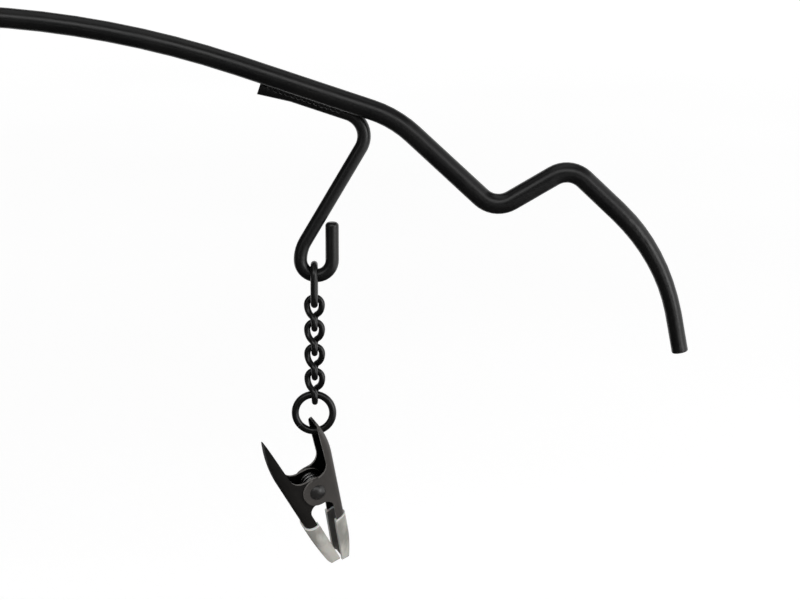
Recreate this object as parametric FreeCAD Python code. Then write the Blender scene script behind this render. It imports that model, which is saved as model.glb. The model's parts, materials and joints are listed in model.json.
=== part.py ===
import FreeCAD, Part
import os
from collections import namedtuple
from math import atan2, cos, degrees, pi, radians, sin, sqrt, tan

Vector = FreeCAD.Vector
Rotation = FreeCAD.Rotation
Placement = FreeCAD.Placement

# Skirt hanger: a bent round bar with a rail hook, and on each arm a welded drop hook, a short chain,
# a ring and a sprung clip. Millimetres. The origin is where the rail touches the inside of the rail
# hook. X runs along the bar, Y to the back and Z up. Heights on the bar, the drop hooks and the chain
# are given below the middle of the bar's crown.

# Bar
BAR_RADIUS = 3.0
CROWN_BELOW_RAIL = 71.0
CROWN_BEND = 285.0
SHOULDER = (136.3, -30.1)
SHOULDER_BEND = 33.0
NOTCH = (165.7, -57.5)
CREST = (187.75, -44.5)
NOTCH_BEND = 7.5
DROP = (215.3, -70.7)
DROP_BEND = 57.6
BAR_END = (220.9, -100.3)
BAR_END_RADIUS = 2.45
BAR_TAPER_SHARE = 0.7
BAR_TAPER_STATIONS = 8
BAR_END_ROUNDING = 0.5

# Rail hook
RAIL_WIRE_RADIUS = 2.5
RAIL_INNER_RADIUS = 19.0
RAIL_TIP_ANGLE = 200.0
RAIL_NECK_ANGLE = 60.0
RAIL_TIP_ROUNDING = 1.6
RAIL_WELD_RADIUS = 4.2
RAIL_WELD_HEIGHT = 2.2

# Drop hook
DROP_WIRE_RADIUS = 2.0
DROP_WIRE_BESIDE_BAR = 5.05
DROP_WIRE_BACKWARD = 41.6
DROP_LEG_START = 96.9
DROP_TOP_BEND = 7.0
DROP_SLANT = 59.5
DROP_HEEL_BEND = 11.2
DROP_EYE_X = 113.05
DROP_EYE_RADIUS = 4.7
DROP_EYE_BOTTOM = -77.85
DROP_TIP = -61.7
DROP_TIP_ROUNDING = 1.2
SHEAR_LENGTH = 10.0
SHEAR_HALF_HEIGHT = 2.55
SHEAR_HALF_DEPTH = 1.55
SHEAR_SAG = 0.45
WELD_BEADS = 13
WELD_BEAD_RADIUS = 1.25
WELD_START = 3.0
WELD_LENGTH = 20.0
WELD_FROM_CONTACT = 1.1

# Chain and ring
EYE_PLAY = 0.3
LINK_PLAY = 0.15
RING_PLAY = 0.45
CHAIN_OFF_EYE = 0.65
CONNECTOR_WIRE_RADIUS = 1.05
CONNECTOR_LENGTH = 14.2
CONNECTOR_INNER_WIDTH = 4.6
LINK_WIRE_RADIUS = 0.95
LINK_LENGTH = 11.4
LINK_WIDTH = 6.3
LINK_COUNT = 4
LINK_LEG_EASE = 0.62
RING_WIRE_RADIUS = 1.1
RING_DIAMETER = 13.4
RING_JOINT_ANGLE = 226.0
RING_JOINT_GAP = 0.12
RING_INWARD = 0.3
RING_GRIP_ANGLE = 17.6

# Clip, upright about its rivet: x outward from the middle, z up the handles, y to the back
Half = namedtuple(
    "Half",
    "width bend_radius back flare handle_top handle_tip handle_bend handle_edge jaw_edge jaw_bend jaw_back "
    "jaw_tip sleeve_top",
)
HANGING_HALF = Half(
    width=8.4,
    bend_radius=1.6,
    back=7.2,
    flare=9.4,
    handle_top=21.8,
    handle_tip=(7.7, 23.0),
    handle_bend=9.7,
    handle_edge=(6.15, 10.1),
    jaw_edge=(2.95, -8.2),
    jaw_bend=-16.1,
    jaw_back=(1.1, -27.5),
    jaw_tip=(-0.7, -27.5),
    sleeve_top=-11.8,
)
SWINGING_HALF = Half(
    width=6.8,
    bend_radius=2.6,
    back=8.85,
    flare=8.0,
    handle_top=22.6,
    handle_tip=(8.75, 23.3),
    handle_bend=6.5,
    handle_edge=(6.65, 10.1),
    jaw_edge=(4.05, -9.1),
    jaw_bend=-16.0,
    jaw_back=(4.25, -27.3),
    jaw_tip=(1.68, -27.3),
    sleeve_top=-9.9,
)
SHEET = 0.7
HANDLE_EDGE_FILLET = 4.0
EAR_RADIUS = 4.5
THROAT_FILLET = 2.7
JAW_CORNER = 2.4
RING_HOLE_RADIUS = 2.3
RING_HOLE_HEIGHT = 16.2
RIVET_RADIUS = 1.5
RIVET_RUNNING_FIT = 0.05
RIVET_HEAD_RADIUS = 2.5
RIVET_HEAD_HEIGHT = 1.5
RIVET_TAIL_RADIUS = 2.2
RIVET_TAIL_HEIGHT = 0.8
SLEEVE_SKIN = 0.45
SLEEVE_RISE_ACROSS = 0.18
SLEEVE_RISE_BACK = 0.2
CLIP_TURN = 19.5
CLIP_LEAN = 19.8
CLIP_TILT = 14.0

# Torsion spring on the rivet
SPRING_WIRE_RADIUS = 0.4
SPRING_COIL_RADIUS = 3.7
SPRING_PITCH = 1.3
SPRING_FULL_TURNS = 3
SPRING_LEAN_HANGING = 22.6
SPRING_LEAN_SWINGING = 25.2
SPRING_LEG_LENGTH = 10.2
SPRING_LEAST_GAP = 0.4

# Weights per cubic millimetre, which set how the clip hangs
STEEL = 7.85e-6
VINYL = 1.25e-6

TINY = 1e-6
SIDES = {"right": 1, "left": -1}


def on_bar(point, y=0.0):
    """The point in the whole frame, from its X and its height above the crown."""
    return Vector(point[0], y, point[1] - CROWN_BELOW_RAIL)


def line(a, b):
    """A straight edge."""
    return Part.LineSegment(a, b).toShape()


def arc_from(a, b, tangent):
    """The circular edge from a to b that leaves a along the tangent."""
    chord = b - a
    way = Vector(chord).normalize()
    side = tangent - way * tangent.dot(way)
    if side.Length < TINY:
        return line(a, b)
    bulge = chord.Length / 2 * tan(tangent.getAngle(way) / 2)
    return Part.Arc(a, a + chord / 2 + side.normalize() * bulge, b).toShape()


def bent_path(points, radii):
    """Straight runs through the points, with a tangent arc of the given radius at each inner one."""
    edges = []
    here = points[0]
    for before, corner, after, radius in zip(points, points[1:], points[2:], radii):
        coming = (corner - before).normalize()
        going = (after - corner).normalize()
        cut = radius * tan(coming.getAngle(going) / 2)
        start = corner - coming * cut
        end = corner + going * cut
        if here.distanceToPoint(start) > TINY:
            edges.append(line(here, start))
        edges.append(arc_from(start, end, coming))
        here = end
    if here.distanceToPoint(points[-1]) > TINY:
        edges.append(line(here, points[-1]))
    return edges


def disc(centre, normal, radius):
    """A round face."""
    return Part.Face(Part.Wire(Part.Circle(centre, normal, radius).toShape()))


def rod(edges, radius):
    """A round rod along an open path."""
    first = edges[0]
    start = first.valueAt(first.FirstParameter)
    return Part.Wire(edges).makePipe(disc(start, first.tangentAt(first.FirstParameter), radius))


def one(shape):
    """The single solid that a shape holds."""
    return shape.Solids[0] if len(shape.Solids) == 1 else shape


def joined(solids):
    """One solid from solids that meet or overlap."""
    return one(solids[0].multiFuse(solids[1:]).removeSplitter())


def round_rim(solid, centre, rim, radius):
    """Rounds the edges that run at this distance round the centre of a rod's end."""
    chosen = []
    for edge in solid.Edges:
        if all(abs(point.distanceToPoint(centre) - rim) < 0.01 for point in edge.discretize(7)):
            chosen.append(edge)
    return solid.makeFillet(radius, chosen)


def placed(shape, placement):
    """The shape moved by the placement, with its new place in its geometry."""
    return one(shape.transformed(placement.toMatrix(), True))


def mirrored(shape):
    """The shape's twin on the other side of the hanger's middle."""
    return one(shape.mirror(Vector(0, 0, 0), Vector(1, 0, 0)))


def crown_peak():
    """Height of the corner where the two shoulder lines would meet over the crown."""
    slope = atan2(CROWN_BEND - (CROWN_BEND + SHOULDER[1]), SHOULDER[0])
    for _ in range(20):
        peak = CROWN_BEND * (1 / cos(slope) - 1)
        slope = atan2(peak - SHOULDER[1], SHOULDER[0])
    return peak, slope


def shoulder_bar():
    """The bar, with each end drawn down to a thinner square-cut end."""
    peak, _ = crown_peak()
    arm = [SHOULDER, NOTCH, CREST, DROP, BAR_END]
    bends = [SHOULDER_BEND, NOTCH_BEND, NOTCH_BEND, DROP_BEND]
    left = [on_bar((-x, z)) for x, z in reversed(arm)]
    right = [on_bar(point) for point in arm]
    path = bent_path(left + [on_bar((0, peak))] + right, bends[::-1] + [CROWN_BEND] + bends)
    body = rod(path[2:-2], BAR_RADIUS)
    drawn = drawn_end(path[-2:])
    return joined([body, drawn, mirrored(drawn)])


def drawn_end(edges):
    """The last bend and the straight end of an arm, thinner towards the end."""
    path = Part.Wire(edges)
    points = path.discretize(Number=BAR_TAPER_STATIONS)
    bend = edges[0]
    sections = []
    for index, point in enumerate(points):
        share = min(1.0, index / (BAR_TAPER_STATIONS - 1) / BAR_TAPER_SHARE)
        eased = share * share * (3 - 2 * share)
        radius = BAR_RADIUS + (BAR_END_RADIUS - BAR_RADIUS) * eased
        edge = bend if bend.distToShape(Part.Vertex(point))[0] < TINY else edges[1]
        tangent = edge.tangentAt(edge.Curve.parameter(point))
        sections.append(Part.Wire(Part.Circle(point, tangent, radius).toShape()))
    body = Part.makeLoft(sections, True, False)
    return round_rim(body, points[-1], BAR_END_RADIUS, BAR_END_ROUNDING)


def rail_hook(bar):
    """The hook for the rail, coped to sit on the crown of the bar."""
    bend = RAIL_INNER_RADIUS + RAIL_WIRE_RADIUS
    centre = Vector(0, 0, -RAIL_INNER_RADIUS)

    def around(angle):
        return centre + Vector(cos(radians(angle)), 0, sin(radians(angle))) * bend

    tip = around(RAIL_TIP_ANGLE)
    neck = around(-RAIL_NECK_ANGLE)
    turn = neck.x / (1 - cos(radians(RAIL_NECK_ANGLE)))
    shank = Vector(0, 0, neck.z - turn * sin(radians(RAIL_NECK_ANGLE)))
    leaving = Vector(-sin(radians(RAIL_NECK_ANGLE)), 0, -cos(radians(RAIL_NECK_ANGLE)))
    edges = [
        Part.Arc(tip, around(90), neck).toShape(),
        arc_from(neck, shank, leaving),
        line(shank, on_bar((0, 0))),
    ]
    wire = rod(edges, RAIL_WIRE_RADIUS)
    return one(round_rim(wire, tip, RAIL_WIRE_RADIUS, RAIL_TIP_ROUNDING).cut(bar))


def rail_hook_weld(bar, hook):
    """The fillet of weld round the foot of the rail hook."""
    foot = on_bar((0, BAR_RADIUS))
    low = -BAR_RADIUS / 2
    corners = [
        foot + Vector(0, 0, low),
        foot + Vector(RAIL_WELD_RADIUS, 0, low),
        foot + Vector(RAIL_WELD_RADIUS, 0, 0.3),
        foot + Vector(RAIL_WIRE_RADIUS, 0, RAIL_WELD_HEIGHT),
        foot + Vector(0, 0, RAIL_WELD_HEIGHT),
    ]
    section = Part.Face(Part.makePolygon(corners + corners[:1]))
    bead = section.revolve(foot, Vector(0, 0, 1), 360)
    return one(bead.cut(bar).cut(hook))


def drop_plane():
    """How far below and behind the bar the drop hook's wire runs."""
    angle = radians(DROP_WIRE_BACKWARD)
    return DROP_WIRE_BESIDE_BAR * cos(angle), DROP_WIRE_BESIDE_BAR * sin(angle)


def drop_leg(x):
    """The middle of the drop hook's welded leg at this X, and the leg's direction."""
    below, behind = drop_plane()
    peak, slope = crown_peak()
    along = Vector(cos(slope), 0, -sin(slope))
    height = peak - x * tan(slope) - below / cos(slope)
    return on_bar((x, height), behind), along


def drop_hook():
    """The welded wire: a leg along the bar, a slant down, an open eye and a rounded tip."""
    _, behind = drop_plane()
    start, along = drop_leg(DROP_LEG_START)
    heel_x = DROP_EYE_X - DROP_EYE_RADIUS
    toe_x = DROP_EYE_X + DROP_EYE_RADIUS
    slant = tan(radians(DROP_SLANT))
    heel_z = DROP_EYE_BOTTOM + DROP_EYE_RADIUS + DROP_HEEL_BEND * tan(radians(90 - DROP_SLANT) / 2)
    heel = on_bar((heel_x, heel_z), behind)
    rise = start.z - heel.z + tan(crown_peak()[1]) * (start.x - heel.x)
    reach = rise / (slant + tan(crown_peak()[1]))
    top = Vector(heel.x + reach, behind, heel.z + slant * reach)
    pinch = start + along * SHEAR_LENGTH
    tip = on_bar((toe_x, DROP_TIP), behind)
    corners = [
        pinch,
        top,
        heel,
        on_bar((heel_x, DROP_EYE_BOTTOM), behind),
        on_bar((toe_x, DROP_EYE_BOTTOM), behind),
        tip,
    ]
    bends = [DROP_TOP_BEND, DROP_HEEL_BEND, DROP_EYE_RADIUS, DROP_EYE_RADIUS]
    wire = rod(bent_path(corners, bends), DROP_WIRE_RADIUS)
    wire = round_rim(wire, tip, DROP_WIRE_RADIUS, DROP_TIP_ROUNDING)
    return joined([wire, sheared_end(start, pinch, along)])


def sheared_end(start, pinch, along):
    """The wire's cut end, squeezed flat and a little deeper by the shears."""
    down = Vector(0, 1, 0).cross(along)
    round_part = Part.Wire(Part.Circle(pinch, along, DROP_WIRE_RADIUS).toShape())
    squeezed = Part.Ellipse(Vector(0, 0, 0), SHEAR_HALF_HEIGHT, SHEAR_HALF_DEPTH).toShape()
    turn = Rotation(down, Vector(0, 1, 0), along, "ZXY")
    oval = placed(squeezed, Placement(start + down * SHEAR_SAG, turn))
    return Part.makeLoft([round_part, Part.Wire(oval)], True, True)


def drop_hook_weld(bar, hook):
    """Overlapping beads of weld in the groove between the bar and the drop hook's leg."""
    angle = radians(DROP_WIRE_BACKWARD)
    beads = []
    for index in range(WELD_BEADS):
        x = DROP_LEG_START + WELD_START + WELD_LENGTH * index / (WELD_BEADS - 1)
        middle, along = drop_leg(x)
        back = Vector(0, 1, 0)
        down = back.cross(along)
        contact = middle - (down * cos(angle) + back * sin(angle)) * (DROP_WIRE_BESIDE_BAR - BAR_RADIUS)
        bead = contact + (down * sin(angle) - back * cos(angle)) * WELD_FROM_CONTACT
        beads.append(Part.makeSphere(WELD_BEAD_RADIUS, bead))
    return one(joined(beads).cut(bar).cut(hook))


def link_loop(top_radius, bottom_radius, height, twist):
    """Two halves of a link's middle line, hung from its highest point at the origin.

    The top bend lies in the XZ plane and the bottom bend is turned by the twist about Z.
    """
    upper = Vector(0, 0, -top_radius)
    lower = Vector(0, 0, bottom_radius - height)
    way = Vector(cos(radians(twist)), sin(radians(twist)), 0)
    left = upper - Vector(top_radius, 0, 0)
    right = upper + Vector(top_radius, 0, 0)
    first = lower - way * bottom_radius
    second = lower + way * bottom_radius
    top = Part.Arc(left, Vector(0, 0, 0), right).toShape()
    bottom = Part.Arc(second, Vector(0, 0, -height), first).toShape()
    return [top] + link_leg(right, second), [bottom] + link_leg(first, left)


def link_leg(start, end):
    """A link's leg, upright at both ends: straight, or two arcs, the wider one above, that swing across."""
    down = Vector(0, 0, 1 if end.z > start.z else -1)
    if Vector(end.x - start.x, end.y - start.y, 0).Length < TINY:
        return [line(start, end)]
    share = LINK_LEG_EASE if end.z < start.z else 1 - LINK_LEG_EASE
    middle = start + (end - start) * share
    first = arc_from(start, middle, down)
    return [first, arc_from(middle, end, first.tangentAt(first.LastParameter))]


def link(width, length, wire_radius, twist):
    """A closed link of round wire whose top bend's middle line peaks at the origin."""
    bend = width / 2 - wire_radius
    halves = link_loop(bend, bend, length - 2 * wire_radius, twist)
    return joined([rod(half, wire_radius) for half in halves])


def ring():
    """The ring, with the fine gap of its butt joint, about the origin in the XZ plane."""
    middle = RING_DIAMETER / 2 - RING_WIRE_RADIUS
    whole = Part.makeTorus(middle, RING_WIRE_RADIUS, Vector(0, 0, 0), Vector(0, 1, 0))
    side = 4 * RING_WIRE_RADIUS
    slit = Part.makeBox(side, side, RING_JOINT_GAP, Vector(middle - side / 2, -side / 2, -RING_JOINT_GAP / 2))
    slit.rotate(Vector(0, 0, 0), Vector(0, 1, 0), -RING_JOINT_ANGLE)
    return one(whole.cut(slit))


def chain_heights():
    """Height of each hanging piece's uppermost middle point, from the connector to the ring."""
    rest = DROP_EYE_BOTTOM + DROP_WIRE_RADIUS + EYE_PLAY - LINK_PLAY
    heights = []
    pieces = [(CONNECTOR_WIRE_RADIUS, CONNECTOR_LENGTH)]
    pieces += [(LINK_WIRE_RADIUS, LINK_LENGTH)] * LINK_COUNT
    pieces += [(RING_WIRE_RADIUS, RING_DIAMETER)]
    for wire_radius, length in pieces:
        top = rest + LINK_PLAY + wire_radius
        heights.append(top)
        rest = top + wire_radius - length + 2 * wire_radius
    return heights, rest


def half_back(half, inset):
    """The back of a clip half, as edges from above the handle to below the jaw, moved inward."""
    flare = radians(half.flare)
    along = Vector(-sin(flare), 0, -cos(flare))
    inward = Vector(-cos(flare), 0, sin(flare))
    handle = Vector(half.back + half.handle_bend * tan(flare), 0, half.handle_bend)
    jaw = Vector(half.back + half.jaw_bend * tan(flare), 0, half.jaw_bend)
    bends = []
    for start, end, leaving in ((handle, half.handle_tip, along * -1), (jaw, half.jaw_back, along)):
        chord = Vector(end[0], 0, end[1]) - start
        lean = chord.getAngle(leaving)
        radius = chord.Length / 2 / sin(lean)
        centre = start + inward * radius
        kept = radius - inset
        reach = start + inward * inset
        turned = []
        for angle in (lean * 1.15, lean * 2.3):
            out = inward * -cos(angle) + leaving * sin(angle)
            turned.append(centre + out * kept)
        bends.append((reach, turned))
    (handle_start, handle_turn), (jaw_start, jaw_turn) = bends
    return [
        Part.Arc(handle_turn[1], handle_turn[0], handle_start).toShape(),
        line(handle_start, jaw_start),
        Part.Arc(jaw_start, jaw_turn[0], jaw_turn[1]).toShape(),
    ]


def channel_block(half, width, inset):
    """A solid block behind a clip half's back, with the bends of the sheet rounded."""
    edges = half_back(half, inset)
    top = edges[0].valueAt(edges[0].FirstParameter)
    bottom = edges[2].valueAt(edges[2].LastParameter)
    far = -3 * EAR_RADIUS
    pivot = edges[2].Curve.Center
    corners = [bottom, pivot, Vector(far, 0, pivot.z), Vector(far, 0, top.z), top]
    outline = Part.Wire(edges + [line(a, b) for a, b in zip(corners, corners[1:])])
    block = Part.Face(outline).extrude(Vector(0, width, 0))
    block.translate(Vector(0, -width / 2, 0))
    folds = []
    for edge in block.Edges:
        flat = abs(edge.Vertexes[0].Y - edge.Vertexes[-1].Y) < TINY
        middle = edge.valueAt((edge.FirstParameter + edge.LastParameter) / 2)
        if flat and any(part.distToShape(Part.Vertex(middle.x, 0, middle.z))[0] < TINY for part in edges):
            folds.append(edge)
    return block.makeFillet(half.bend_radius - inset, folds)


def flange_outline(half, grow):
    """The side outline of a clip half: handle edge, ear, throat and jaw edge, closed past its back."""
    beyond = half.back + 8
    tip = Vector(half.handle_tip[0], 0, half.handle_tip[1])
    edge = Vector(half.handle_edge[0], 0, half.handle_edge[1])
    way = (edge - tip).normalize()
    corner = edge + way * ((edge.z - EAR_RADIUS) / -way.z)
    ear_top = Vector(0, 0, EAR_RADIUS)
    ear_bottom = Vector(0, 0, -EAR_RADIUS)
    jaw_edge = Vector(half.jaw_edge[0], 0, half.jaw_edge[1])
    jaw_tip = Vector(half.jaw_tip[0], 0, half.jaw_tip[1])
    slope = (jaw_edge - jaw_tip).normalize()
    throat = jaw_edge + slope * ((-EAR_RADIUS - jaw_edge.z) / slope.z)
    high = Vector(beyond, 0, tip.z)
    low = Vector(beyond, 0, jaw_tip.z)
    upper = [line(high, tip)] + bent_path([tip, corner, ear_top], [HANDLE_EDGE_FILLET])
    lower = bent_path([ear_bottom, throat, jaw_tip], [THROAT_FILLET]) + [line(jaw_tip, low)]
    ear = Part.Arc(ear_top, Vector(-EAR_RADIUS, 0, 0), ear_bottom).toShape()
    outline = Part.Wire(upper + [ear] + lower + [line(low, high)])
    return outline.makeOffset2D(grow) if grow else outline


def half_front(half, top, grow):
    """The outline of a clip half from behind: a rounded handle and softened jaw corners."""
    reach = half.width / 2 + grow
    top = top + grow
    bottom = half.jaw_tip[1] - grow
    corner = JAW_CORNER + grow
    points = [
        Vector(0, reach, top - reach),
        Vector(0, reach, bottom + corner),
        Vector(0, reach - corner, bottom),
        Vector(0, corner - reach, bottom),
        Vector(0, -reach, bottom + corner),
        Vector(0, -reach, top - reach),
    ]
    edges = [
        line(points[0], points[1]),
        arc_from(points[1], points[2], Vector(0, 0, -1)),
        line(points[2], points[3]),
        arc_from(points[3], points[4], Vector(0, -1, 0)),
        line(points[4], points[5]),
        Part.Arc(points[5], Vector(0, 0, top), points[0]).toShape(),
    ]
    face = Part.Face(Part.Wire(edges))
    body = face.extrude(Vector(6 * half.back, 0, 0))
    body.translate(Vector(-3 * half.back, 0, 0))
    return body


def channel(half, top, grow=0.0):
    """A clip half as a plain bent channel, grown on every face by the given skin."""
    outer = channel_block(half, half.width + 2 * grow, -grow)
    inner = channel_block(half, half.width - 2 * SHEET - 2 * grow, SHEET + grow)
    side = Part.Face(flange_outline(half, grow)).extrude(Vector(0, 2 * half.width, 0))
    side.translate(Vector(0, -half.width, 0))
    return one(outer.common(side).cut(inner).common(half_front(half, top, grow)))


def rivet_hole(radius):
    """A drill through both ears."""
    depth = 4 * HANGING_HALF.width
    return Part.makeCylinder(radius, depth, Vector(0, -depth / 2, 0), Vector(0, 1, 0))


def hanging_jaw():
    """The outer half of the clip, with the hole for the ring in its handle."""
    start = Vector(EAR_RADIUS, 0, RING_HOLE_HEIGHT)
    hole = Part.makeCylinder(RING_HOLE_RADIUS, 3 * HANGING_HALF.back, start, Vector(1, 0, 0))
    half = channel(HANGING_HALF, HANGING_HALF.handle_top)
    return one(half.cut(rivet_hole(RIVET_RADIUS)).cut(hole))


def swinging_jaw():
    """The inner half of the clip, which turns on the rivet."""
    half = channel(SWINGING_HALF, SWINGING_HALF.handle_top)
    return mirrored(one(half.cut(rivet_hole(RIVET_RADIUS + RIVET_RUNNING_FIT))))


def sleeve(half, jaw, hand):
    """The dipped skin on a jaw's tip, down from a slanting rim."""
    skin = channel(half, half.handle_tip[1], SLEEVE_SKIN)
    if hand < 0:
        skin = mirrored(skin)
    depth = 3 * HANGING_HALF.width
    bath = Part.makeBox(2 * depth, 2 * depth, 2 * depth, Vector(-depth, -depth, -2 * depth))
    tilt = Vector(-SLEEVE_RISE_ACROSS, -SLEEVE_RISE_BACK, 1)
    bath = placed(bath, Placement(Vector(0, 0, half.sleeve_top), Rotation(Vector(0, 0, 1), tilt)))
    return one(skin.common(bath).cut(jaw))


def cap(radius, height, y, facing):
    """A domed rivet head whose flat side stands at y."""
    sphere = (radius * radius + height * height) / (2 * height)
    centre = Vector(0, y + facing * (height - sphere), 0)
    ball = Part.makeSphere(sphere, centre)
    keep = Part.makeCylinder(radius, height, Vector(0, y, 0), Vector(0, facing, 0))
    return ball.common(keep)


def rivet():
    """The clip's rivet: a domed head in front, a shank through the ears, and a flatter tail."""
    face = HANGING_HALF.width / 2
    shank = Part.makeCylinder(RIVET_RADIUS, 2 * face, Vector(0, -face, 0), Vector(0, 1, 0))
    head = cap(RIVET_HEAD_RADIUS, RIVET_HEAD_HEIGHT, -face, -1)
    tail = cap(RIVET_TAIL_RADIUS, RIVET_TAIL_HEIGHT, face, 1)
    return joined([shank, head, tail])


def biarc(a, b, leaving, arriving):
    """Two tangent arcs from a to b with these directions at their ends."""
    chord = b - a
    both = leaving + arriving
    bend = 2 * (1 - leaving.dot(arriving))
    lead = chord.dot(both)
    reach = (sqrt(lead * lead + bend * chord.dot(chord)) - lead) / bend
    middle = (a + b + (leaving - arriving) * reach) / 2
    first = arc_from(a, middle, leaving)
    return [first, arc_from(middle, b, first.tangentAt(first.LastParameter))]


def spring_path():
    """The torsion spring's middle line: a straight leg, the coil in quarter turns, and a leg."""
    lean = radians(SPRING_LEAN_HANGING)
    sweep = SPRING_FULL_TURNS * 2 * pi + pi - lean - radians(SPRING_LEAN_SWINGING)
    quarters = round(sweep / (pi / 2))
    coil = SPRING_PITCH * sweep / (2 * pi)

    def place(share):
        angle = -lean - sweep * share
        return Vector(cos(angle), 0, sin(angle)) * SPRING_COIL_RADIUS + Vector(0, coil * (share - 0.5), 0)

    def heading(share):
        angle = -lean - sweep * share
        climb = 0 if share in (0, 1) else SPRING_PITCH / (2 * pi * SPRING_COIL_RADIUS)
        return Vector(sin(angle), climb, -cos(angle)).normalize()

    start = place(0)
    end = place(1)
    edges = [line(start - heading(0) * SPRING_LEG_LENGTH, start)]
    for quarter in range(quarters):
        before = quarter / quarters
        after = (quarter + 1) / quarters
        edges += biarc(place(before), place(after), heading(before), heading(after))
    edges.append(line(end, end + heading(1) * SPRING_LEG_LENGTH))
    return edges


def spring():
    """The torsion spring as one unbroken round wire."""
    edges = spring_path()
    path = Part.Wire(edges)
    start = edges[0].valueAt(edges[0].FirstParameter)
    heading = edges[0].tangentAt(edges[0].FirstParameter)
    section = Part.Wire(Part.Circle(start, heading, SPRING_WIRE_RADIUS).toShape())
    print_least_gap(path)
    return one(path.makePipeShell([section], True))


def print_least_gap(path):
    """Prints the least gap between the spring's own turns, measured on points along it."""
    points = path.discretize(Distance=SPRING_WIRE_RADIUS / 2)
    step = path.Length / (len(points) - 1)
    apart = int(pi * SPRING_COIL_RADIUS / step)
    gaps = [a.distanceToPoint(b) for i, a in enumerate(points) for b in points[i + apart:]]
    least = min(gaps) - 2 * SPRING_WIRE_RADIUS
    print(f"spring: least gap to itself {least:.2f} mm, wanted over {SPRING_LEAST_GAP}")


def clip():
    """The clip's pieces, upright about the rivet."""
    hanging = hanging_jaw()
    swinging = swinging_jaw()
    return {
        "clip_hanging_jaw": hanging,
        "clip_swinging_jaw": swinging,
        "clip_rivet": rivet(),
        "clip_spring": spring(),
        "clip_hanging_sleeve": sleeve(HANGING_HALF, hanging, 1),
        "clip_swinging_sleeve": sleeve(SWINGING_HALF, swinging, -1),
    }


def hanging_point():
    """Where the ring's wire lies in the clip: at the top of the hole, in the middle of the sheet."""
    z = RING_HOLE_HEIGHT + RING_HOLE_RADIUS - RING_WIRE_RADIUS - RING_PLAY
    probe = Part.makeLine(Vector(0, 0, z), Vector(3 * HANGING_HALF.back, 0, z))
    half = channel(HANGING_HALF, HANGING_HALF.handle_top)
    outside = max(vertex.X for vertex in half.common(probe).Vertexes)
    return Vector(outside - SHEET / 2, 0, z)


def clip_turn(sign):
    """How the clip is turned about the ring's wire before it settles front to back."""
    yaw = CLIP_TURN if sign > 0 else 180 - CLIP_TURN
    return Rotation(Vector(0, 0, 1), yaw) * Rotation(Vector(0, 1, 0), -CLIP_LEAN)


def weight_middle(pieces):
    """The middle of the clip's weight."""
    moment = Vector(0, 0, 0)
    total = 0
    for name, solid in pieces.items():
        weight = solid.Volume * (VINYL if "sleeve" in name else STEEL)
        moment += solid.CenterOfMass * weight
        total += weight
    return moment / total


def settled(turn, arm, axis):
    """The turn followed by the swing about the axis that leaves the arm tilted back from below it."""
    hangs = turn.multVec(arm)
    across = Vector(0, 0, 1).cross(axis).normalize()
    upward = axis.cross(across)
    angle = atan2(hangs.dot(across), -hangs.dot(upward))
    return Rotation(axis, CLIP_TILT - degrees(angle)) * turn


def side_pieces(side, clip_pieces):
    """The chain, ring and clip of one arm, hanging in place."""
    sign = SIDES[side]
    _, behind = drop_plane()
    x = sign * (DROP_EYE_X - CHAIN_OFF_EYE)
    heights, _ = chain_heights()
    spots = [on_bar((x, z), behind) for z in heights]
    pieces = {}
    width = CONNECTOR_INNER_WIDTH + 4 * CONNECTOR_WIRE_RADIUS
    connector = link(width, CONNECTOR_LENGTH, CONNECTOR_WIRE_RADIUS, 0)
    pieces["connector_link"] = placed(connector, Placement(spots[0], Rotation(Vector(0, 0, 1), 90)))
    twisted = link(LINK_WIDTH, LINK_LENGTH, LINK_WIRE_RADIUS, 90)
    for number in range(1, LINK_COUNT + 1):
        pieces[f"chain_link_{number}"] = placed(twisted, Placement(spots[number], Rotation()))

    # The ring hangs a little inward of the chain, and the clip a little outward of the ring's lowest
    # point. The clip is tilted back on the ring's wire from where its weight hangs below that wire.
    bend = RING_DIAMETER / 2 - RING_WIRE_RADIUS
    hinge = on_bar((x, heights[-1] - RING_WIRE_RADIUS - LINK_PLAY - LINK_WIRE_RADIUS), behind)
    reach = hinge.z - spots[-1].z + bend
    outward = radians(RING_GRIP_ANGLE)
    grip = Vector(sign * sin(outward), 0, -cos(outward)) * bend
    wire_way = Vector(cos(outward), 0, sign * sin(outward))
    held = hanging_point()
    middle = weight_middle(clip_pieces)
    turn = settled(clip_turn(sign), middle - held, wire_way)
    hangs = turn.multVec(middle - held)
    aside = -sign * RING_INWARD
    swing = Rotation(Vector(0, 1, 0), degrees(-atan2(aside, reach)))
    centre = hinge + Vector(aside, 0, -sqrt(reach * reach - aside * aside))
    pieces["ring"] = placed(ring(), Placement(centre, swing))
    hold = centre + grip
    place = Placement(hold - turn.multVec(held), turn)
    for name, solid in clip_pieces.items():
        pieces[name] = placed(solid, place)
    print(f"{side}: connector at {spots[0]}, ring hinge {hinge}, ring centre {centre}")
    print(f"{side}: rivet at {place.Base}, along {turn.multVec(Vector(0, 1, 0))}, ring wire at {hold}")
    print(f"{side}: clip's weight hangs {hangs.x:.3f} {hangs.y:.3f} {hangs.z:.3f} from the ring's wire")
    return {f"{side}_{name}": solid for name, solid in pieces.items()}


def build():
    """All the pieces by node name."""
    bar = shoulder_bar()
    hook = rail_hook(bar)
    wire = drop_hook()
    weld = drop_hook_weld(bar, wire)
    nodes = {
        "shoulder_bar": bar,
        "rail_hook": hook,
        "rail_hook_weld": rail_hook_weld(bar, hook),
        "right_drop_hook": wire,
        "left_drop_hook": mirrored(wire),
        "right_drop_hook_weld": weld,
        "left_drop_hook_weld": mirrored(weld),
    }
    clip_pieces = clip()
    for side in SIDES:
        nodes.update(side_pieces(side, clip_pieces))
    return nodes


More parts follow.
